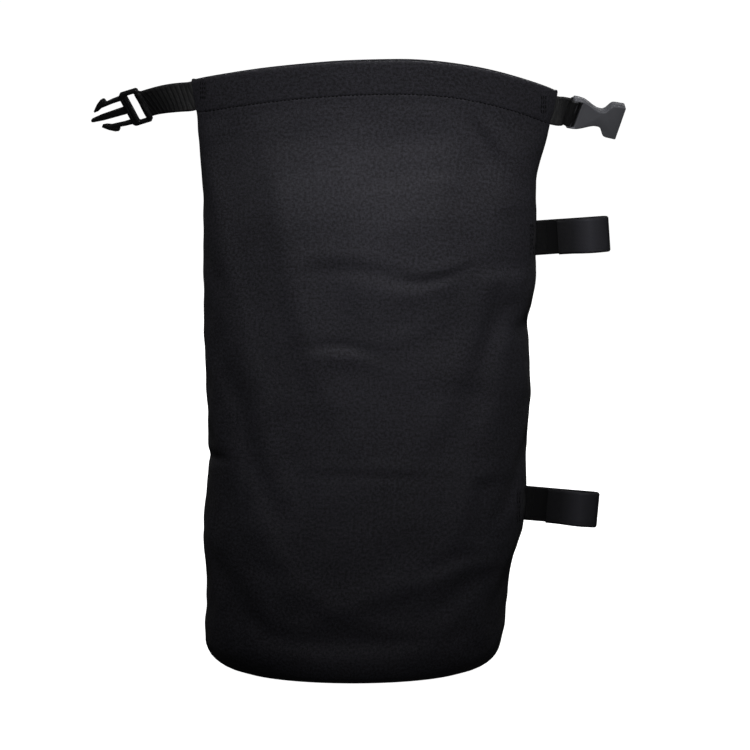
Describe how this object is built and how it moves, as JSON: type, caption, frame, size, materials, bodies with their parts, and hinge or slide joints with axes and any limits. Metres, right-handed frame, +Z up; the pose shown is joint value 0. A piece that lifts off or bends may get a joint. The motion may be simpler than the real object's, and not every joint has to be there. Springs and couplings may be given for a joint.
{
  "type": "roll-top weight bag",
  "caption": "Upright fabric weight bag with a stiffened roll-down mouth, a side-release buckle on webbing ends and hook-and-loop side straps for a pole.",
  "frame": {"origin": "on the floor under the middle of the oval base", "axes": "+Z up towards the mouth, +X towards the side straps, front faces -Y"},
  "size_m": [0.456, 0.14, 0.53],
  "materials": {
    "cloth": "coated oxford weave, dull sheen",
    "binding": "woven binding tape",
    "stiffener": "matt strip",
    "thread": "polyester thread",
    "webbing": "ribbed webbing",
    "buckle_black": "moulded, satin",
    "buckle_grey": "moulded, satin",
    "strap": "woven back of hook-and-loop tape",
    "pile": "loop pile",
    "hook": "hook tape"
  },
  "bodies": {
    "bag": {"front_panel": "cloth", "back_panel": "cloth", "base_panel": "cloth", "base_seam_tape": "binding", "left_seam_tape": "binding", "right_seam_tape": "binding", "upper_strap_tack": "thread", "lower_strap_tack": "thread"},
    "roll_top": {"front_flap": "cloth", "back_flap": "cloth", "front_stiffener": "stiffener", "back_stiffener": "stiffener", "front_hem_stitching": "thread", "back_hem_stitching": "thread", "left_webbing_tack": "thread", "right_webbing_tack": "thread"},
    "left_webbing": {"left_webbing": "webbing"},
    "male_buckle": {"male_buckle_frame": "buckle_black"},
    "male_upper_prong": {"male_buckle_upper_prong": "buckle_black"},
    "male_lower_prong": {"male_buckle_lower_prong": "buckle_black"},
    "right_webbing": {"right_webbing": "webbing"},
    "female_buckle": {"female_buckle": "buckle_grey"},
    "upper_strap": {"upper_strap": "strap", "upper_strap_pile": "pile"},
    "upper_strap_tail": {"upper_strap_tail": "strap", "upper_strap_hook": "hook"},
    "lower_strap": {"lower_strap": "strap", "lower_strap_pile": "pile"},
    "lower_strap_tail": {"lower_strap_tail": "strap", "lower_strap_hook": "hook"}
  },
  "joints": [
    {"name": "roll_top_fold", "type": "hinge", "parent": "bag", "child": "roll_top", "pos_m": [0, -0.0135, 0.462], "axis": [1, 0, 0], "range_deg": [0, 150]},
    {"name": "left_webbing_swing", "type": "hinge", "parent": "roll_top", "child": "left_webbing", "pos_m": [-0.1374, 0, 0.495], "axis": [0, 0, 1], "range_deg": [-75, 75]},
    {"name": "male_buckle_pivot", "type": "hinge", "parent": "left_webbing", "child": "male_buckle", "pos_m": [-0.177, 0.008, 0.4873], "axis": [-0.4221, -0.2831, 0.8612], "range_deg": [-55, 55]},
    {"name": "upper_prong_squeeze", "type": "hinge", "parent": "male_buckle", "child": "male_upper_prong", "pos_m": [-0.19792, 0.01078, 0.49178], "axis": [-0.2036, -0.8961, -0.3943], "range_deg": [0, 6], "stiffness_Nm_per_rad": 1.5},
    {"name": "lower_prong_squeeze", "type": "hinge", "parent": "male_buckle", "child": "male_lower_prong", "pos_m": [-0.18788, 0.01752, 0.47128], "axis": [0.2036, 0.8961, 0.3943], "range_deg": [0, 6], "stiffness_Nm_per_rad": 1.5},
    {"name": "right_webbing_swing", "type": "hinge", "parent": "roll_top", "child": "right_webbing", "pos_m": [0.1751, 0, 0.4825], "axis": [0, 0, 1], "range_deg": [-60, 60]},
    {"name": "female_buckle_pivot", "type": "hinge", "parent": "right_webbing", "child": "female_buckle", "pos_m": [0.1867, 0.002, 0.4818], "axis": [0.2827, -0.3188, 0.9047], "range_deg": [-40, 40]},
    {"name": "upper_strap_swing", "type": "hinge", "parent": "bag", "child": "upper_strap", "pos_m": [0.15885, 0, 0.374], "axis": [-0.0698, 0, 0.9976], "range_deg": [-75, 75]},
    {"name": "upper_strap_peel", "type": "hinge", "parent": "upper_strap", "child": "upper_strap_tail", "pos_m": [0.2196, -0.0043, 0.37824], "axis": [-0.0698, 0, 0.9976], "range_deg": [0, 150]},
    {"name": "lower_strap_swing", "type": "hinge", "parent": "bag", "child": "lower_strap", "pos_m": [0.14815, 0, 0.144], "axis": [0.0872, 0, 0.9962], "range_deg": [-75, 75]},
    {"name": "lower_strap_peel", "type": "hinge", "parent": "lower_strap", "child": "lower_strap_tail", "pos_m": [0.21131, -0.0043, 0.13848], "axis": [0.0872, 0, 0.9962], "range_deg": [0, 150]}
  ]
}
